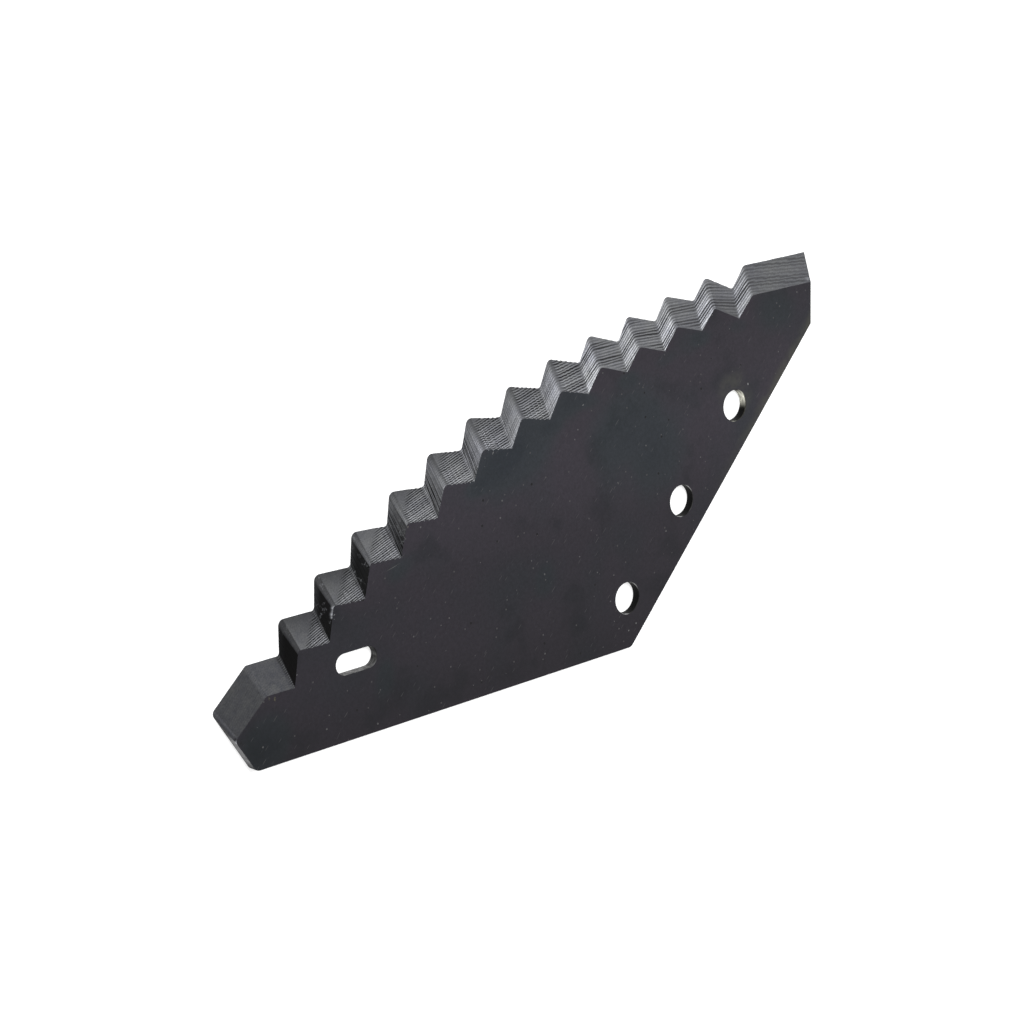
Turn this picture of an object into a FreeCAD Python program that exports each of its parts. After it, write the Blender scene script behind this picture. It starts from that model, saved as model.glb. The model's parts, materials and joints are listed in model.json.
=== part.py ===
import FreeCAD, Part
import math
import os

# Forage wagon knife: one flat steel plate, in millimetres.
# The plate lies flat on its back face. The origin is the centre of the middle bolt hole
# on the back face. +X runs along the bolt row, away from the narrow end. +Y points to the
# toothed edge. +Z comes out of the front face, where the bevel is milled.
# Angles are degrees from +X towards +Y.

# Plate and bolt row
plate_thickness = 5.0
bolt_hole_diameter = 17.5
bolt_hole_count = 3
bolt_hole_spacing = 64.0

# Straight edges
heel_edge_offset = 20.6
bottom_edge_offset = 73.5
bottom_edge_angle = 135.0
bolt_end_reach = 135.0
bolt_end_angle = 42.0
narrow_end_angle = 75.0
heel_corner_radius = 4.0
narrow_corner_radius = 5.0
point_corner_radius = 3.0

# Slot near the narrow end, alongside the bottom edge
slot_width = 11.0
slot_length = 26.0
slot_from_bottom_edge = 40.3
slot_from_narrow_end = 90.3

# Row of notches on the front face, counted from the narrow end
last_notch_x = 103.0
last_notch_y = 29.5
tooth_pitch = 29.6
row_start_angle = -8.2
gentle_turn_angle = 2.2
gentle_turn_count = 4
sharp_turn_angle = 3.9
sharp_turn_count = 4
straight_pitch_count = 2
last_turn_angle = 8.7

# Teeth on the front face: tip measured from its notch, along the row and out from it
first_tip_advance = 14.0
last_tip_advance = 12.0
first_tip_rise = 12.0
last_tip_rise = 8.8

# Milled bevel: cutting edge on the back face, measured from the front face's outline
bevel_width = 16.0
first_bevel_lead = 6.6
last_bevel_lead = 1.8
first_cutting_rise = 13.5
last_cutting_rise = 9.8

# Shoulder that closes the row beside the bolt end
front_shoulder_advance = 12.0
front_shoulder_rise = 10.4
cutting_shoulder_advance = 10.6
cutting_shoulder_rise = 11.0

# Plain bevelled stretches at both ends of the row
plain_bevel_angle = 135.0
front_plain_bevel_length = 17.5
cutting_plain_bevel_length = 20.6
point_bevel_angle = 175.0
point_bevel_length = 29.4

# Rounding that the cutter leaves
front_tip_radius = 2.0
front_notch_radius = 0.4
cutting_tip_radius = 3.4
cutting_notch_radius = 2.0
front_plain_corner_radius = 2.0
cutting_plain_corner_radius = 2.0

# Two points closer than this are the same point
tolerance = 1e-6


def towards(direction):
    """Unit vector in the plate's plane."""
    angle = math.radians(direction)
    return FreeCAD.Vector(math.cos(angle), math.sin(angle), 0)


def square_to(direction):
    """Unit vector a quarter turn on, from +X towards +Y."""
    along = towards(direction)
    return FreeCAD.Vector(-along.y, along.x, 0)


def direction_of(vector):
    return math.degrees(math.atan2(vector.y, vector.x))


def crossing(point_a, direction_a, point_b, direction_b):
    """Point where two lines of the plan meet."""
    a = towards(direction_a)
    b = towards(direction_b)
    gap = point_b - point_a
    along = (gap.x * b.y - gap.y * b.x) / (a.x * b.y - a.y * b.x)
    return point_a + a * along


def blend(first, last, part):
    """Value that changes evenly along the row."""
    return first + (last - first) * part


def pitch_directions():
    """Direction of each pitch of the row: a gentle arc, a sharper arc and a straight run."""
    turns = [gentle_turn_angle] * gentle_turn_count + [sharp_turn_angle] * sharp_turn_count
    turns += [0.0] * straight_pitch_count + [last_turn_angle]
    directions = [row_start_angle]
    for turn in turns:
        directions.append(directions[-1] - turn)
    return directions


def notch_row():
    """Front notches with the row's direction at each, from the narrow end."""
    directions = pitch_directions()
    points = [FreeCAD.Vector(last_notch_x, last_notch_y, 0)]
    for direction in reversed(directions):
        points.insert(0, points[0] - towards(direction) * tooth_pitch)
    before = [directions[0]] + directions
    after = directions + [directions[-1]]
    return points, [(a + b) / 2 for a, b in zip(before, after)]


def tooth_corners():
    """Notches and tips of both faces, each list from the narrow end."""
    front_notches, directions = notch_row()
    last = len(front_notches) - 1
    front_tips = []
    cutting_notches = []
    for i, (notch, direction) in enumerate(zip(front_notches, directions)):
        part = i / last
        along = towards(direction)
        out = square_to(direction)
        advance = blend(first_tip_advance, last_tip_advance, part)
        rise = blend(first_tip_rise, last_tip_rise, part)
        if i == last:
            advance = front_shoulder_advance
            rise = front_shoulder_rise
        front_tips.append(notch + along * advance + out * rise)
        lead = blend(first_bevel_lead, last_bevel_lead, part)
        cutting_notches.append(notch + along * lead + out * bevel_width)
    cutting_tips = []
    for i in range(last):
        # The long flank is flat, so its cutting edge is parallel to its front edge.
        rise = blend(first_cutting_rise, last_cutting_rise, i / last)
        level = cutting_notches[i] + square_to(directions[i]) * rise
        flank = direction_of(front_notches[i + 1] - front_tips[i])
        cutting_tips.append(crossing(cutting_notches[i + 1], flank, level, directions[i]))
    shoulder = towards(directions[last]) * cutting_shoulder_advance
    shoulder += square_to(directions[last]) * cutting_shoulder_rise
    cutting_tips.append(cutting_notches[last] + shoulder)
    return front_notches, front_tips, cutting_notches, cutting_tips


def plan_corners():
    """Corners of the back and front outlines, anticlockwise from the heel, with radii.

    Both lists have the same length, and corner i of one faces corner i of the other."""
    front_notches, front_tips, cutting_notches, cutting_tips = tooth_corners()
    bottom = square_to(bottom_edge_angle) * bottom_edge_offset
    heel_line = FreeCAD.Vector(0, -heel_edge_offset, 0)
    heel = crossing(heel_line, 0, bottom, bottom_edge_angle)
    bolt_corner = FreeCAD.Vector(bolt_end_reach, -heel_edge_offset, 0)
    plain = towards(plain_bevel_angle)
    cutting_bend = cutting_notches[0] + plain * cutting_plain_bevel_length
    front_bend = front_notches[0] + plain * front_plain_bevel_length
    point = cutting_bend + towards(point_bevel_angle) * point_bevel_length
    narrow_corner = crossing(point, narrow_end_angle, bottom, bottom_edge_angle)

    def outline(notches, tips, bend, tip_radius, notch_radius, bend_radius):
        bevel_end = crossing(bolt_corner, bolt_end_angle, tips[-1], plain_bevel_angle)
        point_end = crossing(point, narrow_end_angle, bend, point_bevel_angle)
        corners = [(heel, heel_corner_radius), (bolt_corner, 0), (bevel_end, 0)]
        for tip, notch in zip(reversed(tips), reversed(notches)):
            corners += [(tip, tip_radius), (notch, notch_radius)]
        corners += [(bend, bend_radius), (point_end, point_corner_radius)]
        return corners + [(narrow_corner, narrow_corner_radius)]

    back = outline(cutting_notches, cutting_tips, cutting_bend,
                   cutting_tip_radius, cutting_notch_radius, cutting_plain_corner_radius)
    front = outline(front_notches, front_tips, front_bend,
                    front_tip_radius, front_notch_radius, front_plain_corner_radius)
    return back, front, point, narrow_corner


def outline_edges(corners, height):
    """Straight edges and corner arcs of one outline, in order."""
    lift = FreeCAD.Vector(0, 0, height)
    trimmed = []
    count = len(corners)
    for i, (corner, radius) in enumerate(corners):
        before = (corners[i - 1][0] - corner).normalize()
        after = (corners[(i + 1) % count][0] - corner).normalize()
        half = before.getAngle(after) / 2
        reach = radius / math.tan(half)
        middle = corner + (before + after).normalize() * (radius / math.sin(half) - radius)
        trimmed.append((corner + before * reach + lift, middle + lift, corner + after * reach + lift))
    edges = []
    for i, (start, middle, end) in enumerate(trimmed):
        if corners[i][1] > 0:
            edges.append(Part.Arc(start, middle, end).toShape())
        edges.append(Part.makeLine(end, trimmed[(i + 1) % count][0]))
    return edges


def wall(back_edge, front_edge):
    """Face between two facing edges: extruded where it is square, flat or ruled elsewhere."""
    rise = FreeCAD.Vector(0, 0, plate_thickness)
    back_start, back_end = [vertex.Point for vertex in back_edge.Vertexes]
    front_start, front_end = [vertex.Point for vertex in front_edge.Vertexes]
    square_start = front_start.isEqual(back_start + rise, tolerance)
    square_end = front_end.isEqual(back_end + rise, tolerance)
    if square_start and square_end:
        return back_edge.extrude(rise)
    border = Part.makePolygon([back_start, back_end, front_end, front_start, back_start])
    if back_edge.Curve.TypeId == "Part::GeomLine" and border.findPlane(tolerance):
        return Part.Face(border)
    return Part.makeRuledSurface(back_edge, front_edge)


def plate():
    """Solid between the back outline and the front outline."""
    back, front, point, narrow_corner = plan_corners()
    back_edges = outline_edges(back, 0)
    front_edges = outline_edges(front, plate_thickness)
    faces = [wall(lower, upper) for lower, upper in zip(back_edges, front_edges)]
    faces.append(Part.Face(Part.Wire(back_edges)))
    faces.append(Part.Face(Part.Wire(front_edges)))
    shell = Part.makeShell(faces)
    shell.sewShape()
    return Part.makeSolid(shell), point, narrow_corner


def bolt_holes():
    """One straight row of round holes, its middle at the origin."""
    holes = []
    for i in range(bolt_hole_count):
        x = (i - (bolt_hole_count - 1) / 2) * bolt_hole_spacing
        holes.append(Part.makeCylinder(bolt_hole_diameter / 2, plate_thickness, FreeCAD.Vector(x, 0, 0)))
    return holes


def slot_cutter(point, narrow_corner):
    """Slot with round ends, parallel to the bottom edge."""
    along = towards(bottom_edge_angle)
    across = square_to(bottom_edge_angle)
    line = narrow_corner - across * slot_from_bottom_edge
    start = crossing(point, narrow_end_angle, line, bottom_edge_angle)
    centre = start - along * slot_from_narrow_end
    radius = slot_width / 2
    half = slot_length / 2 - radius
    near = centre + along * half
    far = centre - along * half
    edges = [
        Part.makeLine(far - across * radius, near - across * radius),
        Part.Arc(near - across * radius, near + along * radius, near + across * radius).toShape(),
        Part.makeLine(near + across * radius, far + across * radius),
        Part.Arc(far + across * radius, far - along * radius, far - across * radius).toShape(),
    ]
    return Part.Face(Part.Wire(edges)).extrude(FreeCAD.Vector(0, 0, plate_thickness))


def knife():
    body, point, narrow_corner = plate()
    return body.cut(bolt_holes() + [slot_cutter(point, narrow_corner)])


os.makedirs("parts", exist_ok=True)
blade = knife()
blade.exportStep("parts/knife_blade.step")
print("volume", round(blade.Volume), "valid", blade.isValid(), "faces", len(blade.Faces))
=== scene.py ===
import json
import math

import bmesh
import bpy
import numpy as np
from mathutils import Matrix, Vector


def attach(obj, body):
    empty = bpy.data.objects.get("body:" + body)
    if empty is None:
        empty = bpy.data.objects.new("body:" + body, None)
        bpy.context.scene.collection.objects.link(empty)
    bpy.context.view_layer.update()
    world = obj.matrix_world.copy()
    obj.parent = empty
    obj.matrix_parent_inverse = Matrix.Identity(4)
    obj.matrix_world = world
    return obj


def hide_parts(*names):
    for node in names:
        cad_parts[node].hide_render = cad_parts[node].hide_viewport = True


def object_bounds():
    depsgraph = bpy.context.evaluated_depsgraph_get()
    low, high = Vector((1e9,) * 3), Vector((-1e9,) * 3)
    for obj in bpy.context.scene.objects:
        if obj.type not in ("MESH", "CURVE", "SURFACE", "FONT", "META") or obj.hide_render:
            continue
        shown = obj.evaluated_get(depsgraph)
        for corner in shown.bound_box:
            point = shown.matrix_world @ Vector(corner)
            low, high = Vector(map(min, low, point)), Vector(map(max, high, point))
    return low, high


# Forage wagon knife. One closed mesh stands for the plain solid and adds what the cutter and use
# left on it: ridges on the bevel, broken edges, eased tips and small dents.
# The plan is in millimetres in the part's own frame, and the mesh is in metres.
# Angles are degrees from +X towards +Y. Teeth are counted from the narrow end, 0 to 12.

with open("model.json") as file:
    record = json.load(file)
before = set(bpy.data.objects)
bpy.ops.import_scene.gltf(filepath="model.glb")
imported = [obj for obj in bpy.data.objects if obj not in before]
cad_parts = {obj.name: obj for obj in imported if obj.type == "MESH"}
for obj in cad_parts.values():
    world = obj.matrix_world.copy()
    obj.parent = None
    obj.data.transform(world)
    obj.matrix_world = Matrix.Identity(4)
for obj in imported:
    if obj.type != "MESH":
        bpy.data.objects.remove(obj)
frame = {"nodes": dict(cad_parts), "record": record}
cad_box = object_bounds()

# Plate, bolt holes and slot
mounts = {mount["name"]: mount for mount in frame["record"]["mounts"]}
bolts = mounts["outer_bolt_holes"]["dims"]
slot = mounts["narrow_end_slot"]
THICKNESS = 5.0
HOLE_RADIUS = bolts["hole_r_mm"]
HOLE_ROW = (-bolts["spacing_x_mm"] / 2, 0.0, bolts["spacing_x_mm"] / 2)
SLOT_CENTRE = np.array([1000 * value for value in slot["pos_m"][:2]])
SLOT_ANGLE = 135.0
SLOT_RADIUS = slot["dims"]["hole_r_mm"]
SLOT_LENGTH = slot["dims"]["slot_length_mm"]
BROKEN_EDGE = 0.30

# Straight edges and the corners between them
HEEL_OFFSET = 20.6
BOTTOM_OFFSET = 73.5
BOTTOM_ANGLE = 135.0
BOLT_END_REACH = 135.0
BOLT_END_ANGLE = 42.0
NARROW_END_ANGLE = 75.0
HEEL_RADIUS = 4.0
NARROW_RADIUS = 5.0
POINT_RADIUS = 3.0

# Row of teeth: its direction at the narrow end, and how much it turns from each pitch to the next.
TEETH = 12
PITCH = 29.6
LAST_NOTCH = (103.0, 29.5)
ROW_START_ANGLE = -8.2
ROW_TURNS = [2.2] * 4 + [3.9] * 4 + [0.0] * 2 + [8.7]
# Teeth, as values at tooth 0 and at the last tooth: how far a tip on the front face lies along the row
# and above its notch, how far the bevel leads along the row, and how far a tip on the back face lies
# above its notch.
TIP_ADVANCE = (14.0, 12.0)
TIP_RISE = (12.0, 8.8)
BEVEL_LEAD = (6.6, 1.8)
BACK_RISE = (13.5, 9.8)
BEVEL_WIDTH = 16.0
# Shoulder that closes the row: its rise on the front face, its advance and rise on the back face.
SHOULDER_RISE = 10.4
BACK_SHOULDER = (10.6, 11.0)
# Corner radii. The cutter left the front corners of the middle teeth rounder than the others.
FRONT_TIP_RADIUS = 2.0
MIDDLE_TIP_RADIUS = 3.8
FRONT_NOTCH_RADIUS = 0.4
BACK_TIP_RADIUS = 3.4
BACK_NOTCH_RADIUS = 2.0

# Plain bevelled stretches at the narrow end
PLAIN_ANGLE = 135.0
PLAIN_LENGTH = 17.5
BACK_PLAIN_LENGTH = 20.6
PLAIN_RADIUS = 2.0
POINT_ANGLE = 175.0
POINT_LENGTH = 29.4

# Places of the corners in an outline. Tips and notches take turns from FIRST_TIP to END_NOTCH.
HEEL, BOLT_END, BOLT_TIP, FIRST_TIP = range(4)
END_NOTCH, BEND, POINT, NARROW = range(FIRST_TIP + 2 * TEETH + 1, FIRST_TIP + 2 * TEETH + 5)


def unit(angle):
    """Unit vector in the plate's plane."""
    turn = math.radians(angle)
    return np.array([math.cos(turn), math.sin(turn)])


def square(angle):
    """Unit vector a quarter turn on."""
    along = unit(angle)
    return np.array([-along[1], along[0]])


def crossing(point_a, angle_a, point_b, angle_b):
    """Point where two lines of the plan meet."""
    a = unit(angle_a)
    b = unit(angle_b)
    gap = point_b - point_a
    return point_a + a * ((gap[0] * b[1] - gap[1] * b[0]) / (a[0] * b[1] - a[1] * b[0]))


def blend(pair, share):
    """Value at a share of the way from the first of a pair to the second."""
    return pair[0] + (pair[1] - pair[0]) * share


def smooth(start, stop, value):
    """0 at start, 1 at stop, eased."""
    t = np.clip((value - start) / (stop - start), 0, 1)
    return t * t * (3 - 2 * t)


def front_tip_radius(tooth):
    """Radius of a tooth's corner on the front face."""
    middle = smooth(3.2, 4.2, tooth) * (1 - smooth(7.2, 8.8, tooth))
    return blend((FRONT_TIP_RADIUS, MIDDLE_TIP_RADIUS), middle)


def plan():
    """Corners of the back and the front outline with their radii, anticlockwise from the heel."""
    pitches = [ROW_START_ANGLE]
    for turn in ROW_TURNS:
        pitches.append(pitches[-1] - turn)
    notches = [np.array(LAST_NOTCH)]
    for pitch in reversed(pitches):
        notches.insert(0, notches[0] - unit(pitch) * PITCH)
    rows = [(a + b) / 2 for a, b in zip([pitches[0]] + pitches, pitches + [pitches[-1]])]

    tips = []
    back_notches = []
    for tooth, (notch, row) in enumerate(zip(notches, rows)):
        share = tooth / TEETH
        rise = SHOULDER_RISE if tooth == TEETH else blend(TIP_RISE, share)
        tips.append(notch + unit(row) * blend(TIP_ADVANCE, share) + square(row) * rise)
        back_notches.append(notch + unit(row) * blend(BEVEL_LEAD, share) + square(row) * BEVEL_WIDTH)

    back_tips = []
    for tooth in range(TEETH):
        level = back_notches[tooth] + square(rows[tooth]) * blend(BACK_RISE, tooth / TEETH)
        flank = notches[tooth + 1] - tips[tooth]
        flank_angle = math.degrees(math.atan2(flank[1], flank[0]))
        back_tips.append(crossing(back_notches[tooth + 1], flank_angle, level, rows[tooth]))
    shoulder = back_notches[-1] + unit(rows[-1]) * BACK_SHOULDER[0]
    back_tips.append(shoulder + square(rows[-1]) * BACK_SHOULDER[1])

    bottom = square(BOTTOM_ANGLE) * BOTTOM_OFFSET
    heel = crossing(np.array([0, -HEEL_OFFSET]), 0, bottom, BOTTOM_ANGLE)
    end = np.array([BOLT_END_REACH, -HEEL_OFFSET])
    bend = notches[0] + unit(PLAIN_ANGLE) * PLAIN_LENGTH
    back_bend = back_notches[0] + unit(PLAIN_ANGLE) * BACK_PLAIN_LENGTH
    point = back_bend + unit(POINT_ANGLE) * POINT_LENGTH
    narrow = crossing(point, NARROW_END_ANGLE, bottom, BOTTOM_ANGLE)

    def outline(tip_row, notch_row, bend_place, tip_radius, notch_radius):
        bolt_tip = crossing(end, BOLT_END_ANGLE, tip_row[-1], PLAIN_ANGLE)
        corners = [(heel, HEEL_RADIUS), (end, 0.0), (bolt_tip, 0.0)]
        for tooth in range(TEETH, -1, -1):
            corners.append((tip_row[tooth], tip_radius(tooth)))
            corners.append((notch_row[tooth], notch_radius))
        corners.append((bend_place, PLAIN_RADIUS))
        corners.append((crossing(point, NARROW_END_ANGLE, bend_place, POINT_ANGLE), POINT_RADIUS))
        corners.append((narrow, NARROW_RADIUS))
        return corners

    back_outline = outline(back_tips, back_notches, back_bend,
                           lambda tooth: BACK_TIP_RADIUS, BACK_NOTCH_RADIUS)
    front_outline = outline(tips, notches, bend, front_tip_radius, FRONT_NOTCH_RADIUS)
    return back_outline, front_outline


def corner_arcs(corners):
    """For each corner: where its arc starts and stops, the arc's centre and its radius."""
    arcs = []
    for i, (corner, radius) in enumerate(corners):
        before = corners[i - 1][0] - corner
        after = corners[(i + 1) % len(corners)][0] - corner
        before = before / np.linalg.norm(before)
        after = after / np.linalg.norm(after)
        half = math.acos(max(-1, min(1, float(before @ after)))) / 2
        start = corner + before * radius / math.tan(half)
        stop = corner + after * radius / math.tan(half)
        centre = corner + (before + after) / np.linalg.norm(before + after) * (radius / math.sin(half))
        arcs.append((start, stop, centre, radius))
    return arcs


def arc_points(arc, t):
    """Points of a corner's arc at the shares t of its length."""
    start, stop, centre, radius = arc
    if radius == 0:
        return np.repeat(start[None], len(t), 0)
    first = math.atan2(*(start - centre)[::-1])
    last = math.atan2(*(stop - centre)[::-1])
    turn = (last - first + math.pi) % (2 * math.pi) - math.pi
    angle = first + turn * t
    return centre + radius * np.c_[np.cos(angle), np.sin(angle)]


back_arcs, front_arcs = (corner_arcs(outline) for outline in plan())

# Milled bevel as a fine height field. Its columns run across the bevel, from the bolt end to the point.
ROWS = 84
RIDGE_DEPTH = 0.26
STREAK_DEPTH = 0.05
TIP_EASING = 1.5
# The teeth from this one on have ridges over all of their long flanks, and no streaks on the short ones.
FIRST_EVEN = 8


def bevel_columns():
    """Each column's places on both outlines, its tooth and kind, and the phase of its ridges."""
    columns = []
    phase = 0.0

    def add_run(places, tooth, kind, rate, streaked=0.0):
        """Adds the columns of one stretch. The rate is the ridges' phase per mm of the front outline."""
        nonlocal phase
        on_front, on_back = places
        steps = np.r_[0, np.linalg.norm(np.diff(on_front, axis=0), axis=1)]
        for k, step in enumerate(steps):
            phase += rate * step
            share = k / max(len(steps) - 1, 1)
            columns.append((on_front[k], on_back[k], tooth, kind, phase, share, streaked))

    def straight(corner, count):
        """Places on the straight stretch after a corner."""
        t = np.linspace(0, 1, count)[:, None]
        return [arcs[corner][1] * (1 - t) + arcs[corner + 1][0] * t for arcs in (front_arcs, back_arcs)]

    def bend(corner, count):
        """Places round a corner."""
        t = np.linspace(0, 1, count)
        return [arc_points(arcs[corner], t) for arcs in (front_arcs, back_arcs)]

    add_run(straight(BOLT_TIP, 30), TEETH + 0.5, "end", -0.05)
    corner = FIRST_TIP
    for tooth in range(TEETH, -1, -1):
        add_run(bend(corner, 8), tooth, "tip", -0.08)
        rate = -0.06 - 0.08 * (1 - smooth(8.0, 10.0, tooth))
        if tooth < FIRST_EVEN:
            add_run(straight(corner, 44), tooth, "steep", rate, 1.0)
        else:
            add_run(straight(corner, 14), tooth, "steep", rate)
        add_run(bend(corner + 1, 5), tooth - 0.5, "notch", 0.1)
        if tooth:
            rate = 0.32 - 0.18 * smooth(6.0, 9.5, tooth - 1)
            add_run(straight(corner + 1, 40 if tooth < 9 else 26), tooth - 1, "long", rate)
        corner += 2
    add_run(straight(END_NOTCH, 14), -1.0, "plain", 0.30)
    add_run(bend(BEND, 5), -1.3, "plain", 0.2)
    add_run(straight(BEND, 16), -1.6, "plain", 0.1)
    add_run(bend(POINT, 6), -2.0, "plain", 0.0)
    return [np.array(values) for values in zip(*columns)]


FRONT, BACK, TOOTH, KIND, PHASE, SHARE, STREAKED = bevel_columns()
moved = np.abs(np.diff(FRONT, axis=0)).max(1) + np.abs(np.diff(BACK, axis=0)).max(1)
keep = np.r_[True, moved > 1e-6]
FRONT, BACK, TOOTH, KIND, PHASE, SHARE, STREAKED = (
    values[keep] for values in (FRONT, BACK, TOOTH, KIND, PHASE, SHARE, STREAKED))
PLACE = np.r_[0, np.cumsum(np.linalg.norm(np.diff(FRONT + BACK, axis=0), axis=1) / 2)]
WEIGHT = np.gradient(PLACE)


def averaged(values, spread):
    """Averages the columns' values over their neighbours, each column with its own spread in mm."""
    spread = np.maximum(np.broadcast_to(spread, PLACE.shape), 1e-3)[:, None]
    near = np.exp(-0.5 * ((PLACE[None, :] - PLACE[:, None]) / spread) ** 2) * WEIGHT[None, :]
    return (near / near.sum(1, keepdims=True)) @ values


def ridge_count():
    """Ridges across the bevel at each column, fewer and coarser towards the bolt end."""
    count = 16.2 - 5.0 * smooth(3.0, 8.8, TOOTH) - 2.0 * smooth(9.2, 12.5, TOOTH)
    reach = 30
    window = np.ones(2 * reach + 1) / (2 * reach + 1)
    return np.convolve(np.pad(count, reach, mode="edge"), window, mode="valid")


PHASE = averaged(PHASE, 1.3)
RIDGES = ridge_count()
WOBBLE = np.random.default_rng(7).normal(size=8)
tooth_of = TOOTH[:, None]
place_of = PLACE[:, None]
is_end, is_tip, is_steep, is_notch, is_long, is_plain = (
    (KIND == kind)[:, None] for kind in ("end", "tip", "steep", "notch", "long", "plain"))


def strength(v):
    """How deep the ridges are, by column and place across the bevel: 0 at the front face, 1 at the back."""
    to_notch = np.where(is_long, 1 - SHARE[:, None], 1.0)
    reach = -0.30 + 0.20 * tooth_of + 1.1 * to_notch
    faded = (1 - smooth(-0.22, 0.22, v - reach)) * (1 + 0.5 * (1 - smooth(6, 8, tooth_of)))
    even = (0.35 + 0.65 * smooth(0.02, 0.16, v)) * (1 - 0.35 * smooth(8.5, 10.5, tooth_of))
    deep = np.ones(v.shape)
    deep = np.where(is_long, np.where(tooth_of < FIRST_EVEN, faded, even), deep)
    on_steep = 0.26 + 0.12 * smooth(4.0, 6.0, tooth_of) + 0.58 * smooth(6.6, 8.4, tooth_of)
    deep = np.where(is_steep, on_steep, deep)
    deep = np.where(is_tip, 0.12 + 0.85 * smooth(6.6, 8.4, tooth_of), deep)
    wide_end = (tooth_of >= FIRST_EVEN) & ~is_steep
    deep = np.where(wide_end, deep * (1 - 0.5 * smooth(0.72, 0.95, v)), deep)
    deep = np.where(is_end, 0.50, deep)
    near_row = 0.35 * smooth(-1.1, -0.9, tooth_of) * (1 - smooth(0.2, 0.7, v))
    deep = np.where(is_plain, 0.12 + near_row, deep)
    return deep * (1 - 0.65 * smooth(0.86, 1.0, v)) * (0.6 + 0.4 * smooth(0, 0.06, v))


def softened(values):
    """Evens values along the columns, so that they have no step at a facet's border."""
    pad = np.pad(values, ((2, 2), (0, 0)), mode="edge")
    return (pad[:-4] + pad[1:-3] + pad[2:-2] + pad[3:-1] + pad[4:]) / 5


def streak(v):
    """Uneven marks along the rulings of the short flanks near the narrow end, 0 to 1."""
    total = np.zeros(v.shape)
    for k, (rate, sway) in enumerate(((4.3, 0.5), (7.7, 0.9), (12.1, 0.7))):
        turns = rate * SHARE[:, None] + sway * v * (0.5 + WOBBLE[k]) + 3.7 * WOBBLE[k + 5] * tooth_of
        total += np.sin(2 * math.pi * turns)
    towards_notch = 0.35 + 0.65 * smooth(0.2, 0.7, SHARE)
    return STREAKED[:, None] * smooth(-1.4, 1.9, total) * towards_notch[:, None]


def wave(v):
    """1 in the bottom of a ridge's groove, 0 on its crest."""
    q = PHASE[:, None] + RIDGES[:, None] * v
    uneven = 0.035 + 0.030 * smooth(5.5, 8.0, tooth_of)
    q = q + uneven * (np.sin(1.7 * q + 1.3 + 0.11 * place_of) + 0.8 * np.sin(2.9 * q + 0.07 * place_of))
    q = q + 0.03 * np.sin(0.45 * place_of + 2.3 * q)
    torn = 0.09 * np.sin(1.0 * place_of + 1.9 * q) + 0.07 * np.sin(0.37 * place_of + 3.1 * q)
    q = q + is_end * torn
    uneven_depth = 0.80 + 0.20 * np.sin(1.1 * q + 0.8 * np.sin(2.3 * q))
    return (0.5 - 0.5 * np.cos(2 * math.pi * q)) * uneven_depth


def depth(v):
    """Depth in mm below the plain bevel, 0 on the crest of a ridge."""
    return RIDGE_DEPTH * np.minimum(softened(strength(v)), 1.15) * wave(v) + STREAK_DEPTH * streak(v)


def ridge_rows():
    """Places of the rows across the bevel, so that the ridged surface ends on both faces of the plate."""
    first = np.zeros((len(FRONT), 1))
    last = np.ones((len(FRONT), 1))
    for _ in range(3):
        first = -depth(first) / THICKNESS
        last = 1 - depth(last) / THICKNESS
    return first + (last - first) * np.linspace(0, 1, ROWS)[None, :]


def bevel_surface():
    """Points of the bevel in mm, by column and row."""
    height = THICKNESS * (1 - V) - depth(V)
    height[:, 0] = THICKNESS
    height[:, -1] = 0.0
    places = FRONT[:, None, :] + (BACK - FRONT)[:, None, :] * V[:, :, None]
    # the cutter rounded the tips at the wide end between the two outlines
    at_tip = np.select([KIND == "tip", KIND == "steep", KIND == "long"],
                       [1.0, 1 - 0.6 * SHARE, 0.4 + 0.6 * SHARE], 0.4)
    spread = TIP_EASING * at_tip * smooth(2.0, 4.5, TOOTH) * (TOOTH < TEETH + 0.4) + 0.001
    spread = averaged(spread, 2.0)
    for row in range(1, ROWS - 1):
        places[:, row] = averaged(places[:, row], spread * math.sin(math.pi * row / (ROWS - 1)) ** 0.5)
    return np.dstack([places, np.clip(height, 0, THICKNESS)])


V = ridge_rows()
GRID = bevel_surface()

# Painted light and shade of the cut metal along the row, as tooth and level, and how much brighter it is
# painted at the front face than at the back face, as tooth and share of the level.
LONG_TONE = ((-2.0, 0.30), (-1.6, 0.16), (-1, 0.31), (1, 0.40), (2, 0.55), (3, 0.42), (4, 0.48), (5, 0.60),
             (6, 0.78), (7, 0.89), (9, 0.86), (11, 0.70))
LONG_FALL = ((0, 0.8), (1, 0.9), (2, 0.3), (3, 0.65), (5, 0.7), (7, 0.35), (8, 0.0), (10, 0.0), (11, -0.45))
STEEP_TONE = ((0, 0.00), (1, 0.01), (2, 0.02), (3, 0.22), (4, 0.48), (5, 0.62), (7, 0.90), (8, 1.12),
              (10, 1.19), (11, 1.11), (12, 0.96))
STEEP_FALL = ((0, 0.0), (2, 0.0), (3, -0.8), (4, -0.45), (5, 0.1), (6, 0.6), (8, 0.5), (9, 0.2), (10, 0.6),
              (12, 0.35))
TIP_TONE = ((0, 0.11), (1, 0.16), (2, 0.25), (4, 0.29), (7, 0.66), (8, 0.86), (10, 0.86), (11, 1.00),
            (12, 0.78))
TIP_FALL = ((0, 0.3), (4, 0.9), (7, 0.6), (9, 0.1), (12, 0.3))
END_TONE = 0.64
# Painted light on the ridges' crests and painted shade in their grooves on the long flanks, and painted
# glints along the streaks, as tooth and factor.
RIDGE_CONTRAST = ((3, 3.7), (6, 2.3), (8, 1.35), (11, 1.3))
STEEP_CONTRAST = 1.35
STREAK_CONTRAST = ((2.5, 1.0), (3.0, 2.3), (4.5, 2.1), (6.0, 0.4))
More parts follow.
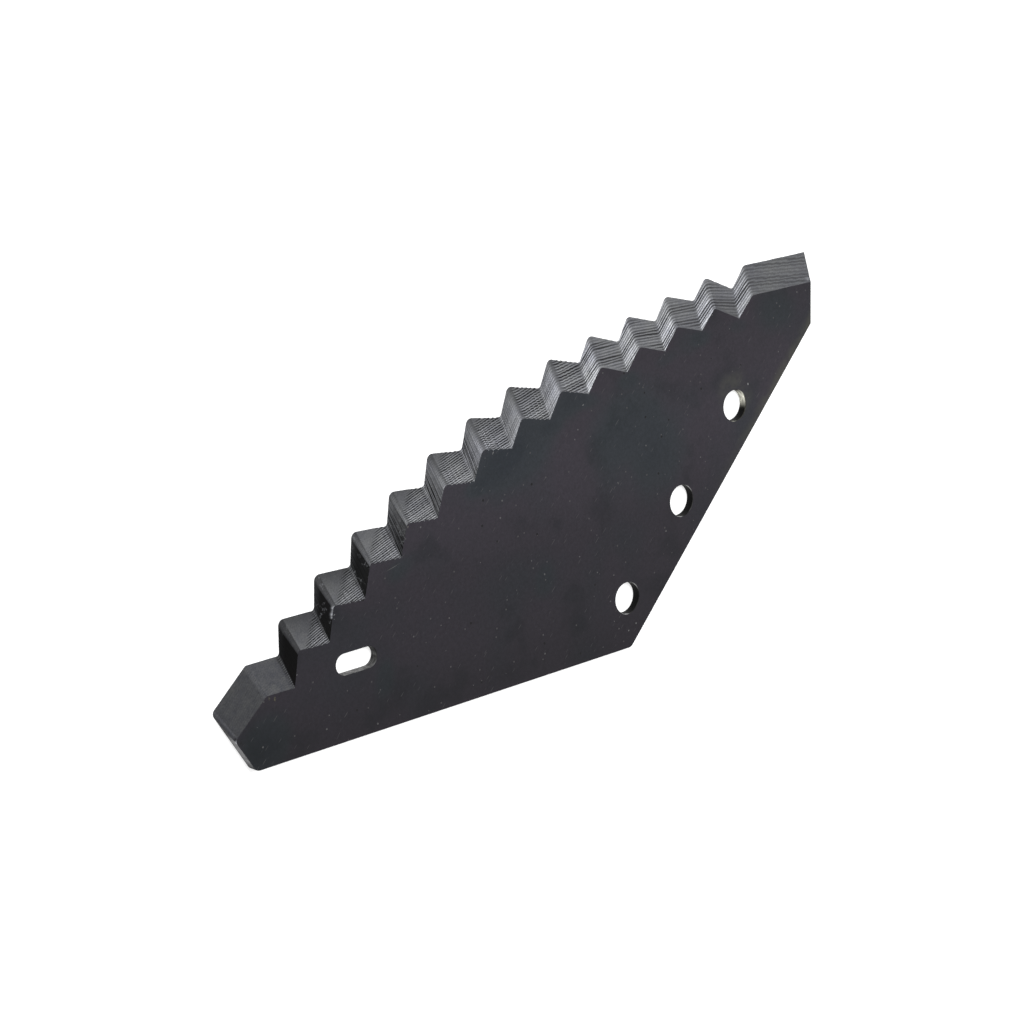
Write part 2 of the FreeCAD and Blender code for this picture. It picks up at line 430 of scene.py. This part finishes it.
# Painted highlight towards the back face on the dark short flanks
DARK_FLANK_HIGHLIGHT = ((0, 0.3), (1, 1.0), (3, 1.0), (4, 0.0))


def by_tooth(pairs):
    """Value at each column, from pairs of tooth and value."""
    return np.interp(tooth_of, *zip(*pairs))


def painted_light():
    """Painted light and shade of the cut metal at each point of the bevel."""
    def falling(tones, falls):
        return by_tooth(tones) * (1 + by_tooth(falls) * (0.5 - V))

    # painted highlight towards the back face of the dark short flanks
    glow = 0.12 * smooth(0.6, 1.0, V) * by_tooth(DARK_FLANK_HIGHLIGHT)
    steep = falling(STEEP_TONE, STEEP_FALL) + glow
    level = np.where(tooth_of < -0.9, by_tooth(LONG_TONE), falling(LONG_TONE, LONG_FALL))
    level = np.where(is_notch, 0.5 * (steep + level), level)
    level = np.where(is_steep, steep, level)
    level = np.where(is_tip, falling(TIP_TONE, TIP_FALL), level)
    level = np.where(is_end, END_TONE, level)
    contrast = np.where(is_long, by_tooth(RIDGE_CONTRAST), np.where(is_steep, STEEP_CONTRAST, 1.0))
    # painted light on the ridges' crests and painted shade in their grooves
    ridged = 1 + contrast * softened(strength(V)) * (0.40 - 1.25 * wave(V))
    # painted glints and shade along the streaks
    streaked = 1 + by_tooth(STREAK_CONTRAST) * (0.30 - 1.15 * streak(V))
    return level * np.maximum(streaked, 0.05) * np.maximum(ridged, 0.08)


BEVEL_PAINTED_LIGHT = painted_light()

# Small dents at the edges, with painted glints: place and width, height against the bevel, painted
# brightness.
NICKS = (
    ((-174.8, 170.9), 0.8, -0.22, 2.4),
    ((-176.2, 170.1), 0.7, -0.15, 1.6),
    ((-177.6, 169.4), 0.8, -0.18, 2.2),
    ((-179.0, 168.6), 0.6, -0.10, 1.5),
    ((-258.6, 179.6), 1.1, -0.10, 3.0),
    ((-257.6, 181.2), 0.7, -0.15, 0.03),
    ((152.7, -1.7), 1.0, -0.12, 1.7),
    ((-54.8, 134.6), 0.9, -0.15, 1.2),
    ((-142.0, 166.0), 1.0, -0.15, 0.8),
    ((71.5, 66.5), 0.8, -0.12, 1.4),
)
for (nick_x, nick_y), width, height, shine in NICKS:
    away = (GRID[:, 1:-1, 0] - nick_x) ** 2 + (GRID[:, 1:-1, 1] - nick_y) ** 2
    near = np.exp(-away / width ** 2)
    GRID[:, 1:-1, 2] = np.clip(GRID[:, 1:-1, 2] + height * near, 0.02, THICKNESS)
    # paints the dents' glints into the bevel's painted light
    BEVEL_PAINTED_LIGHT[:, 1:-1] += (shine - BEVEL_PAINTED_LIGHT[:, 1:-1]) * near

# The knife as one closed mesh
MAT_FACE, MAT_BEVEL, MAT_WALL, MAT_BORE = range(4)
mesh = bmesh.new()
painted_light_layer = mesh.verts.layers.float.new("painted_light")


def add(points, tones=()):
    """Adds vertices at points in mm, kept inside the solid's box."""
    places = [np.clip(np.asarray(point, float) / 1000, cad_box[0], cad_box[1]) for point in points]
    made = [mesh.verts.new(place) for place in places]
    for vertex, brightness in zip(made, tones):
        vertex[painted_light_layer] = brightness
    return made


def strip(side_a, side_b, material_index, closed=False):
    """Quads between two rows of vertices, and triangles where the rows share a vertex."""
    count = len(side_a)
    for k in range(count if closed else count - 1):
        after = (k + 1) % count
        corners = list(dict.fromkeys((side_a[k], side_a[after], side_b[after], side_b[k])))
        if len(corners) > 2:
            face = mesh.faces.new(corners)
            face.material_index = material_index
            face.smooth = True


def outer_run():
    """Plan points from the end of the bevel at the point to its start at the bolt end, front and back."""
    on_front = [front_arcs[POINT][1]]
    on_back = [back_arcs[POINT][1]]
    for corner in (NARROW, HEEL, BOLT_END):
        # a corner without a radius is one point
        t = np.linspace(0, 1, 9 if front_arcs[corner][3] else 1)
        on_front += list(arc_points(front_arcs[corner], t))
        on_back += list(arc_points(back_arcs[corner], t))
    return np.array(on_front + [FRONT[0]]), np.array(on_back + [BACK[0]])


def inset(run, amount):
    """The inner points of a run, moved into the plate by an amount."""
    moved_points = []
    for before, here, after in zip(run, run[1:], run[2:]):
        first = here - before
        second = after - here
        normal = np.array([-first[1], first[0]]) / np.linalg.norm(first)
        middle = normal + np.array([-second[1], second[0]]) / np.linalg.norm(second)
        middle /= np.linalg.norm(middle)
        moved_points.append(here + middle * amount / max(0.5, float(middle @ normal)))
    return moved_points


def outer_wall(grid):
    """Wall square to the plate, with a small broken edge. Gives its front and its back vertices."""
    run_front, run_back = outer_run()
    top = add([(*point, THICKNESS) for point in inset(run_front, BROKEN_EDGE)])
    low = add([(*point, THICKNESS - BROKEN_EDGE) for point in run_front[1:-1]])
    base = add([(*point, 0) for point in run_back[1:-1]])
    strip([grid[-1][0]] + top + [grid[0][0]], [grid[-1][0]] + low + [grid[0][0]], MAT_WALL)
    strip(low, base, MAT_WALL)
    for loop in (grid[-1] + [base[0], low[0]], grid[0][::-1] + [low[-1], base[-1]]):
        mesh.faces.new(loop).material_index = MAT_WALL
    return top, base


def ring(points_at, tones):
    """Wall of an opening with broken edges: rings of points at several heights, each grown outward."""
    levels = ((THICKNESS, BROKEN_EDGE), (THICKNESS - 0.22, 0.06), (THICKNESS - 0.6, 0.0),
              (THICKNESS / 2, 0.0), (0.5, 0.0), (0.15, 0.05), (0.0, 0.2))
    rings = [add([(*point, z) for point in points_at(grow)], tones(k)) for k, (z, grow) in enumerate(levels)]
    for upper, lower in zip(rings, rings[1:]):
        strip(upper, lower, MAT_BORE, closed=True)
    return rings[0], rings[-1]


def bolt_hole(x):
    """Function that gives the hole's outline, grown by an amount."""
    def at(grow):
        angle = np.linspace(0, 2 * math.pi, 73)[:-1]
        return np.c_[x + (HOLE_RADIUS + grow) * np.cos(angle), (HOLE_RADIUS + grow) * np.sin(angle)]
    return at


def slot_outline(grow):
    """The slot's outline, grown by an amount: a half circle round each end."""
    reach = unit(SLOT_ANGLE) * (SLOT_LENGTH / 2 - SLOT_RADIUS)
    angle = math.radians(SLOT_ANGLE) + np.linspace(-math.pi / 2, math.pi / 2, 19)
    half = (SLOT_RADIUS + grow) * np.c_[np.cos(angle), np.sin(angle)]
    return np.vstack([SLOT_CENTRE + reach + half, SLOT_CENTRE - reach - half])


def peak(angles, middle, width):
    """1 at one angle in degrees, fading to 0 at a distance of the width."""
    return 1 - smooth(0, width, np.abs((angles - middle + 180) % 360 - 180))


def bore_painted_light(lit):
    """Painted light round a bolt hole: painted glints at the rim, and painted light on the upper side of the
    wall in the lit hole.
    """
    angles = np.arange(0, 360, 5.0)

    def at(level):
        if level < 2:
            return 0.10 + 1.5 * peak(angles, 5, 30) + 1.2 * peak(angles, -150, 22)
        lit_side = 2.4 if lit else 0.0
        return 0.005 + lit_side * peak(angles, -20, 48) + 0.12 * peak(angles, 22, 12)
    return at


def slot_painted_light(level):
    """Painted light and shade round the slot."""
    angles = np.r_[np.linspace(45, 225, 19), np.linspace(225, 405, 19)]
    low_end = 0.30 * peak(angles, 318, 16) * (level > 1)
    return 0.09 + 0.42 * peak(angles, 218, 26) + 0.20 * peak(angles, 262, 45) + low_end


def fill(loops):
    """Fills a flat face between its outline and its openings."""
    edges = []
    for loop in loops:
        for a, b in zip(loop, loop[1:] + loop[:1]):
            edges.append(mesh.edges.get((a, b)) or mesh.edges.new((a, b)))
    made = bmesh.ops.triangle_fill(mesh, edges=edges, use_beauty=True, use_dissolve=False)
    for item in made["geom"]:
        if isinstance(item, bmesh.types.BMFace):
            item.material_index = MAT_FACE
            item.smooth = True


def knife_mesh():
    """Builds the bevel, the walls and both flat faces, and gives the finished mesh."""
    grid = [add(*column) for column in zip(GRID, BEVEL_PAINTED_LIGHT)]
    for column_a, column_b in zip(grid, grid[1:]):
        strip(column_a, column_b, MAT_BEVEL)
    wall_front, wall_back = outer_wall(grid)
    openings = [ring(bolt_hole(x), bore_painted_light(x > 0)) for x in HOLE_ROW]
    openings.append(ring(slot_outline, slot_painted_light))
    fill([[column[0] for column in grid] + wall_front] + [front for front, _ in openings])
    fill([[column[-1] for column in grid] + wall_back] + [back for _, back in openings])
    bmesh.ops.recalc_face_normals(mesh, faces=mesh.faces)
    # sharp where the material changes or the surface turns by more than 50 degrees
    for edge in mesh.edges:
        faces = edge.link_faces
        if len(faces) == 2 and (faces[0].material_index != faces[1].material_index
                                or faces[0].normal.angle(faces[1].normal, 0) > math.radians(50)):
            edge.smooth = False
    data = bpy.data.meshes.new("knife")
    mesh.to_mesh(data)
    mesh.free()
    return data


knife = bpy.data.objects.new("knife_plate", knife_mesh())
bpy.context.scene.collection.objects.link(knife)


# Material helpers
def grey(value):
    """Grey colour."""
    return (value, value, value)


def put(tree, value, socket):
    """Links a socket's value, or sets a number or a colour."""
    if hasattr(value, "is_output"):
        tree.links.new(value, socket)
    elif isinstance(value, (int, float)):
        socket.default_value = value
    else:
        socket.default_value = (*value, 1)


def material(name):
    """New material with one Principled shader."""
    made = bpy.data.materials.new(name)
    made.use_nodes = True
    tree = made.node_tree
    tree.nodes.clear()
    out = tree.nodes.new("ShaderNodeOutputMaterial")
    shader = tree.nodes.new("ShaderNodeBsdfPrincipled")
    tree.links.new(shader.outputs[0], out.inputs[0])
    return made, tree, shader


def noise(tree, coords, scale, detail, rough):
    """Noise between 0 and 1."""
    made = tree.nodes.new("ShaderNodeTexNoise")
    made.inputs["Scale"].default_value = scale
    made.inputs["Detail"].default_value = detail
    made.inputs["Roughness"].default_value = rough
    tree.links.new(coords, made.inputs["Vector"])
    return made.outputs["Fac"]


def ramp(tree, source, stops):
    """Colour from a value, by stops of position and colour."""
    made = tree.nodes.new("ShaderNodeValToRGB")
    elements = made.color_ramp.elements
    elements[0].position, elements[0].color = stops[0][0], (*stops[0][1], 1)
    elements[1].position, elements[1].color = stops[-1][0], (*stops[-1][1], 1)
    for position, colour in stops[1:-1]:
        elements.new(position).color = (*colour, 1)
    tree.links.new(source, made.inputs[0])
    return made.outputs[0]


def mix(tree, factor, a, b, mode="MIX"):
    """Colour a, mixed with b by a factor."""
    made = tree.nodes.new("ShaderNodeMix")
    made.data_type = "RGBA"
    made.blend_type = mode
    for value, socket in ((factor, 0), (a, 6), (b, 7)):
        put(tree, value, made.inputs[socket])
    return made.outputs[2]


def times(tree, a, b):
    """Colour a multiplied by b."""
    return mix(tree, 1.0, a, b, "MULTIPLY")


def calculate(tree, operation, *values, clamp=False):
    """Result of one math operation on the values."""
    made = tree.nodes.new("ShaderNodeMath")
    made.operation = operation
    made.use_clamp = clamp
    for value, socket in zip(values, made.inputs):
        put(tree, value, socket)
    return made.outputs[0]


def product(tree, a, b, clamp=False):
    """Value a multiplied by b."""
    return calculate(tree, "MULTIPLY", a, b, clamp=clamp)


def measure(tree, operation, coords, point=None):
    """Length of the coordinates, or their distance or dot product with a point."""
    made = tree.nodes.new("ShaderNodeVectorMath")
    made.operation = operation
    tree.links.new(coords, made.inputs[0])
    if point:
        made.inputs[1].default_value = point
    return made.outputs["Value"]


def between(tree, value, start, stop, eased=True):
    """0 at start, 1 at stop."""
    made = tree.nodes.new("ShaderNodeMapRange")
    made.interpolation_type = "SMOOTHSTEP" if eased else "LINEAR"
    made.inputs["From Min"].default_value = start
    made.inputs["From Max"].default_value = stop
    tree.links.new(value, made.inputs["Value"])
    return made.outputs[0]


def mapped(tree, coords, location=(0, 0, 0), turn=0.0, scale=(1, 1, 1), kind="POINT"):
    """Coordinates moved, turned round Z and scaled."""
    made = tree.nodes.new("ShaderNodeMapping")
    made.vector_type = kind
    made.inputs["Location"].default_value = location
    made.inputs["Rotation"].default_value = (0, 0, turn)
    made.inputs["Scale"].default_value = scale
    tree.links.new(coords, made.inputs["Vector"])
    return made.outputs[0]


def axes(tree, coords):
    """The three coordinates by themselves."""
    made = tree.nodes.new("ShaderNodeSeparateXYZ")
    tree.links.new(coords, made.inputs[0])
    return made.outputs


def object_coords(tree):
    """Coordinates in the object's own frame, in metres."""
    return tree.nodes.new("ShaderNodeTexCoord").outputs["Object"]


def painted_tone(tree):
    """The painted light and shade that the mesh carries."""
    made = tree.nodes.new("ShaderNodeAttribute")
    made.attribute_name = "painted_light"
    return made.outputs["Fac"]


def roughness(tree, shader, source, low, high):
    """Roughness between two values, by a noise."""
    tree.links.new(ramp(tree, source, [(0.3, grey(low)), (0.7, grey(high))]), shader.inputs["Roughness"])


def bumped(tree, shader, height, amount, distance):
    """Fine bump on the shader's normal."""
    made = tree.nodes.new("ShaderNodeBump")
    made.inputs["Strength"].default_value = amount
    made.inputs["Distance"].default_value = distance
    tree.links.new(height, made.inputs["Height"])
    tree.links.new(made.outputs[0], shader.inputs["Normal"])


def spots(tree, xyz, scale, size, share, shift):
    """Mask of small round spots scattered over a share of the surface."""
    cells = tree.nodes.new("ShaderNodeTexVoronoi")
    cells.inputs["Scale"].default_value = scale
    tree.links.new(mapped(tree, xyz, (shift, shift * 0.7, shift * 0.3)), cells.inputs["Vector"])
    pick = tree.nodes.new("ShaderNodeSeparateColor")
    tree.links.new(cells.outputs["Color"], pick.inputs[0])
    near = calculate(tree, "LESS_THAN", cells.outputs["Distance"], size)
    return product(tree, near, calculate(tree, "LESS_THAN", pick.outputs[0], share))


def patch(tree, xyz, place, size, angle):
    """1 in the middle of a soft oval on the front face, 0 outside it. Place and half sizes in mm."""
    centre = (place[0] / 1000, place[1] / 1000, THICKNESS / 1000)
    half_sizes = (size[0] / 1000, size[1] / 1000, 0.001)
    inside = mapped(tree, xyz, centre, math.radians(angle), half_sizes, "TEXTURE")
    return between(tree, measure(tree, "LENGTH", inside), 1.0, 0.2)


# Patches where the scale is bluish instead of purplish: place and half sizes in mm, turn, strength.
BLUISH = [
    ((-252, 163), (26, 20), 0, 1.7),
    ((-38, 116), (66, 24), -17, 1.0),
    ((-58, 126), (28, 13), -17, 1.1),
    ((-2, 103), (18, 10), -20, 0.9),
    ((8, 60), (46, 38), 0, 1.1),
    ((8, 26), (38, 26), 0, 0.9),
    ((124, 9), (24, 20), -40, 1.0),
    ((70, 53), (20, 12), -35, 0.7),
    ((-88.5, 58.5), (15, 10), 20, 0.8),
    ((-186, 119), (15, 9), 30, 0.9),
    ((-137, 147), (15, 8), -20, 0.8),
]

# Single marks on the scale: place and half sizes in mm, turn, colour.
MARKS = (
    ((-229.5, 173.4), (1.6, 0.9), 40, (0.100, 0.094, 0.062)),
    ((-231.2, 176.6), (1.3, 0.8), 60, (0.075, 0.072, 0.052)),
    ((-227.0, 172.0), (1.0, 0.6), 10, grey(0.016)),
    ((-257.2, 177.6), (0.9, 0.7), 20, grey(0.008)),
    ((-177.3, 168.3), (0.9, 0.4), -35, (0.200, 0.200, 0.205)),
    ((-179.2, 166.9), (0.7, 0.3), -50, (0.140, 0.140, 0.145)),
    ((79.2, -0.7), (0.9, 0.5), 45, (0.420, 0.420, 0.425)),
    ((-117.1, 156.2), (0.8, 0.5), 20, (0.170, 0.160, 0.140)),
    ((73.0, 63.5), (0.8, 0.5), -30, grey(0.150)),
    ((92.0, 48.1), (0.8, 0.4), -20, grey(0.130)),
    ((-138.5, 151.35), (6.4, 0.28), -31.5, grey(0.095)),
    ((-56.2, 132.7), (1.2, 0.5), 10, grey(0.200)),
    ((-1.1, 96.2), (1.0, 0.5), -20, grey(0.180)),
    ((-71.3, -14.8), (0.7, 0.6), 0, grey(0.200)),
    ((-77.4, -12.6), (0.7, 0.5), 0, grey(0.240)),
    ((-80.5, -5.6), (0.7, 0.6), 0, grey(0.120)),
    ((-94.4, -2.0), (0.8, 0.6), 0, grey(0.110)),
)


def notch_patches():
    """A bluish patch inside each front notch of the wide half."""
    made = []
    for tooth in range(5, TEETH + 1):
        at_notch = (KIND == "notch") & (TOOTH == tooth - 0.5)
        notch = FRONT[at_notch].mean(0)
        behind = BACK[at_notch].mean(0)
        inward = (notch - behind) / np.linalg.norm(notch - behind)
        across = math.degrees(math.atan2(inward[1], inward[0])) + 90
        made.append((tuple(float(value) for value in notch + 4.5 * inward), (12, 6.5), across, 0.8))
    return made


def scale_colour(tree, xyz, tint, fine):
    """Charcoal scale, purplish or bluish, clouded and grained, with painted shading that is darkest along the
    slanted bottom edge.
    """
    bluish = calculate(tree, "MULTIPLY_ADD", tint, 0.62, 0.08)
    for place, size, angle, amount in BLUISH + notch_patches():
        more = product(tree, patch(tree, xyz, place, size, angle), 0.26 * amount)
        bluish = calculate(tree, "ADD", bluish, more)
    colour = ramp(tree, bluish, [(0.38, (0.0302, 0.0268, 0.0343)), (0.62, (0.0237, 0.0271, 0.0321)),
                                 (0.95, (0.0170, 0.0204, 0.0252))])
    stain = noise(tree, xyz, 30.0, 3.0, 0.5)
    colour = times(tree, colour, ramp(tree, stain, [(0.36, (0.74, 0.78, 0.78)), (0.45, (1, 1, 1)),
                                                    (0.70, (1.06, 1.05, 1.06))]))
    # painted shading across the face: darkest along the slanted bottom edge, lightest in the middle, dimmer
    # again towards the teeth
    inward = measure(tree, "DOT_PRODUCT", xyz, (0.7071, 0.7071, 0.0))
    from_bottom = between(tree, inward, -0.065, 0.105, eased=False)
    colour = times(tree, colour, ramp(tree, from_bottom, [
        (0.0, grey(0.56)), (0.14, grey(0.72)), (0.36, grey(0.80)), (0.50, grey(1.02)), (0.66, grey(1.14)),
        (0.80, grey(1.04)), (1.0, grey(0.84))]))
    grit = noise(tree, xyz, 380.0, 3.0, 0.6)
    colour = mix(tree, 0.9, colour, ramp(tree, fine, [(0.3, grey(0.82)), (0.7, grey(1.18))]), "MULTIPLY")
    return mix(tree, 0.9, colour, ramp(tree, grit, [(0.34, grey(0.93)), (0.66, grey(1.07))]), "MULTIPLY")


def add_film(tree, xyz, colour):
    """Dull yellowish film inside the straight back edge, and beside the bolt hole at the wide end."""
    place = axes(tree, xyz)
    edge = product(tree, between(tree, place["Y"], -0.0125, -0.0200), between(tree, place["X"], 0.005, 0.085))
    to_hole = measure(tree, "DISTANCE", xyz, (0.069, 0.0045, 0.005))
    hole = product(tree, between(tree, to_hole, 0.0165, 0.0085), 0.42)
    film = calculate(tree, "ADD", product(tree, edge, 0.62), hole)
    patchy = between(tree, noise(tree, xyz, 90.0, 3.0, 0.6), 0.30, 0.62)
    return mix(tree, product(tree, film, patchy, clamp=True), colour, (0.074, 0.074, 0.060))


def add_wear(tree, xyz, colour):
    """Pale specks, a few dark pits, short scratches and the single marks."""
    for scale, size, share, shift, amount, shade in (
            (150.0, 0.080, 0.24, 0.0, 0.5, grey(0.155)),
            (260.0, 0.13, 0.16, 2.0, 0.5, (0.100, 0.098, 0.098)),
            (110.0, 0.075, 0.35, 5.0, 0.8, grey(0.006))):
        colour = mix(tree, product(tree, spots(tree, xyz, scale, size, share, shift), amount), colour, shade)
    for turn, shift in ((0.6, 0.0), (-0.35, 3.0)):
        lines = noise(tree, mapped(tree, xyz, (shift, shift, 0), turn, (150.0, 1500.0, 1.0)), 1.0, 0.0, 0.5)
        colour = mix(tree, product(tree, between(tree, lines, 0.80, 0.86), 0.40), colour, grey(0.11))
    ragged = between(tree, noise(tree, xyz, 1500.0, 3.0, 0.6), 0.36, 0.52)
    for place, size, angle, shade in MARKS:
        colour = mix(tree, product(tree, patch(tree, xyz, place, size, angle), ragged), colour, shade)
    return colour


def scale_material():
    """Dark heat-treated scale on the rolled faces."""
    made, tree, shader = material("blackened_face")
    xyz = object_coords(tree)
    tint = noise(tree, xyz, 23.0, 2.0, 0.5)
    fine = noise(tree, xyz, 900.0, 6.0, 0.65)
    colour = add_wear(tree, xyz, add_film(tree, xyz, scale_colour(tree, xyz, tint, fine)))
    tree.links.new(colour, shader.inputs["Base Color"])
    shader.inputs["Specular IOR Level"].default_value = 0.15
    roughness(tree, shader, tint, 0.50, 0.60)
    bumped(tree, shader, fine, 0.25, 0.00008)
    return made


def bevel_material():
    """Milled bevel: grey steel left by the cutter, lit and shaded by the painted light the mesh carries, with
    painted glint specks on the dark short flanks.
    """
    made, tree, shader = material("milled_bevel")
    xyz = object_coords(tree)
    x = axes(tree, xyz)["X"]
    fine = noise(tree, xyz, 1400.0, 5.0, 0.6)
    broad = noise(tree, xyz, 70.0, 3.0, 0.5)
    smear = noise(tree, xyz, 320.0, 4.0, 0.6)
    level = painted_tone(tree)
    colour = ramp(tree, fine, [(0.3, (0.096, 0.0985, 0.1035)), (0.7, (0.157, 0.160, 0.1665))])
    colour = times(tree, colour, ramp(tree, broad, [(0.35, (0.88, 0.88, 0.91)), (0.65, (1.06, 1.06, 1.04))]))
    dull = calculate(tree, "ADD", product(tree, between(tree, x, -0.175, -0.225), 0.40), 0.25)
    smeared = ramp(tree, smear, [(0.34, (0.74, 0.75, 0.86)), (0.66, (1.23, 1.22, 1.21))])
    colour = times(tree, mix(tree, dull, colour, smeared, "MULTIPLY"), level)
    # painted glint specks on the dark short flanks
    torn = product(tree, between(tree, level, 0.42, 0.15), between(tree, smear, 0.54, 0.68))
    torn = product(tree, torn, between(tree, x, -0.206, -0.190))
    colour = mix(tree, product(tree, torn, between(tree, fine, 0.46, 0.60)), colour, (0.080, 0.082, 0.088))
    tree.links.new(colour, shader.inputs["Base Color"])
    shader.inputs["Metallic"].default_value = 0.85
    roughness(tree, shader, broad, 0.40, 0.50)
    bumped(tree, shader, fine, 0.30, 0.00006)
    return made


def cut_material(name, squeeze, scale, dark, light, add_painted_light, specular):
    """Cut walls with streaks: through the plate where Z is squeezed, round the holes where X and Y are."""
    made, tree, shader = material(name)
    xyz = object_coords(tree)
    lines = noise(tree, mapped(tree, xyz, scale=squeeze), scale, 4.0, 0.6)
    broad = noise(tree, xyz, 120.0, 3.0, 0.5)
    colour = ramp(tree, lines, [(0.36, dark), (0.66, light)])
    colour = times(tree, colour, ramp(tree, broad, [(0.35, grey(0.7)), (0.65, grey(1.1))]))
    tree.links.new(add_painted_light(tree, xyz, colour), shader.inputs["Base Color"])
    shader.inputs["Specular IOR Level"].default_value = specular
    roughness(tree, shader, lines, 0.42, 0.62)
    bumped(tree, shader, lines, 0.5, 0.0001)
    return made


def wall_painted_shade(tree, xyz, colour):
    """Painted shade under the point, where the wall runs out below the bevel, and darker at the narrow
    corner.
    """
    colour = mix(tree, between(tree, axes(tree, xyz)["Y"], 0.1805, 0.1850), colour, (0.012, 0.012, 0.013))
    to_corner = measure(tree, "DISTANCE", xyz, (-0.2640, 0.1600, 0.0025))
    return mix(tree, between(tree, to_corner, 0.0075, 0.0035), colour, (0.030, 0.030, 0.032))


def bore_painted_light_and_tint(tree, xyz, colour):
    """With the painted light and shade that the mesh carries, and yellowish in the hole at the wide end."""
    colour = times(tree, colour, painted_tone(tree))
    yellowish = times(tree, colour, (1.0, 0.99, 0.86))
    return mix(tree, between(tree, axes(tree, xyz)["X"], 0.02, 0.05), colour, yellowish)


face_material = scale_material()
wall_material = cut_material("cut_wall", (1.0, 1.0, 0.06), 700.0, (0.13, 0.13, 0.135), (0.36, 0.36, 0.37),
                             wall_painted_shade, 0.2)
bore_material = cut_material("bore_wall", (0.22, 0.22, 1.0), 900.0, grey(0.20), grey(0.80), bore_painted_light_and_tint, 0.05)
for finish in (face_material, bevel_material(), wall_material, bore_material):
    knife.data.materials.append(finish)
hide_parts("knife_blade")
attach(knife, "root")
# the hidden solid has the same finish
for solid in frame["nodes"].values():
    solid.data.materials.clear()
    solid.data.materials.append(face_material)


# Floor, sky, lamps and camera
def background_seen(tree):
    """1 for the rays that show the pale background: from the camera, in reflections and through glass."""
    rays = tree.nodes.new("ShaderNodeLightPath").outputs
    mirrored = calculate(tree, "MAXIMUM", rays["Is Glossy Ray"], rays["Is Transmission Ray"])
    return calculate(tree, "MAXIMUM", rays["Is Camera Ray"], mirrored)


def floor_material():
    """Pale floor that keeps the shadow. Its glow grows away from the part, where the lamps reach less."""
    made = bpy.data.materials.new("floor")
    made.use_nodes = True
    tree = made.node_tree
    tree.nodes.clear()
    diffuse = tree.nodes.new("ShaderNodeBsdfDiffuse")
    diffuse.inputs["Color"].default_value = (0.80, 0.80, 0.80, 1)
    glow = tree.nodes.new("ShaderNodeEmission")
    far = between(tree, measure(tree, "LENGTH", object_coords(tree)), 0.5, 1.8)
    amount = calculate(tree, "ADD", product(tree, far, 0.20), 0.66)
    tree.links.new(product(tree, background_seen(tree), amount), glow.inputs["Strength"])
    both = tree.nodes.new("ShaderNodeAddShader")
    tree.links.new(diffuse.outputs[0], both.inputs[0])
    tree.links.new(glow.outputs[0], both.inputs[1])
    tree.links.new(both.outputs[0], tree.nodes.new("ShaderNodeOutputMaterial").inputs[0])
    return made


def add_floor():
    """Floor just below the plate, so that the two faces don't meet."""
    bpy.ops.mesh.primitive_plane_add(size=12, location=(0, 0, -0.0002))
    floor = bpy.context.object
    floor.name = "floor"
    floor.data.materials.append(floor_material())


def add_sky():
    """Soft light from all around, which looks white where the background is seen."""
    world = bpy.data.worlds.new("world")
    bpy.context.scene.world = world
    world.use_nodes = True
    tree = world.node_tree
    tree.nodes.clear()
    sky = tree.nodes.new("ShaderNodeBackground")
    sky.inputs["Color"].default_value = (1, 1, 1, 1)
    # a quarter of the strength lights the part, and the rest is only seen
    white = product(tree, background_seen(tree), 0.75)
    tree.links.new(calculate(tree, "ADD", white, 0.25), sky.inputs["Strength"])
    tree.links.new(sky.outputs[0], tree.nodes.new("ShaderNodeOutputWorld").inputs[0])


LIT_PLACE = Vector((-0.04, 0.08, 0.0))


def add_lamp(name, direction, distance, size, power):
    """Soft box that faces the middle of the part."""
    light = bpy.data.lights.new(name, "AREA")
    light.shape = "RECTANGLE"
    light.size, light.size_y = size
    light.energy = power
    lamp = bpy.data.objects.new(name, light)
    bpy.context.scene.collection.objects.link(lamp)
    towards = Vector(direction).normalized()
    lamp.location = LIT_PLACE + towards * distance
    lamp.rotation_euler = (-towards).to_track_quat("-Z", "Y").to_euler()


# The photograph's view: where the camera looks, from how far and from which side, its roll and its lens.
VIEW_CENTRE = (-0.07110, 0.09761, 0.0)
VIEW_DISTANCE = 1.46344
VIEW_AZIMUTH = 113.950
VIEW_ELEVATION = 47.696
VIEW_ROLL = 101.806
VIEW_LENS = 97.812


def add_camera():
    """Camera with the photograph's view."""
    camera = bpy.data.cameras.new("camera")
    camera.sensor_width = 36.0
    camera.lens = VIEW_LENS
    camera.clip_start = 0.05
    camera.clip_end = 50
    holder = bpy.data.objects.new("camera", camera)
    bpy.context.scene.collection.objects.link(holder)
    azimuth = Matrix.Rotation(math.radians(VIEW_AZIMUTH + 90), 4, "Z")
    elevation = Matrix.Rotation(math.radians(90 - VIEW_ELEVATION), 4, "X")
    roll = Matrix.Rotation(math.radians(VIEW_ROLL), 4, "Z")
    back_off = Matrix.Translation((0, 0, VIEW_DISTANCE))
    holder.matrix_world = Matrix.Translation(VIEW_CENTRE) @ azimuth @ elevation @ roll @ back_off
    bpy.context.scene.camera = holder


add_floor()
add_sky()
add_lamp("overhead", (0.28, 0.26, 0.92), 2.0, (0.9, 0.9), 25)
add_lamp("low_right", (0.72, -0.40, 0.56), 2.2, (1.2, 1.0), 3.6)
add_lamp("camera_side", (-0.55, 0.75, 0.35), 2.4, (1.8, 1.2), 14)
add_camera()
bpy.context.scene.view_settings.view_transform = "Standard"
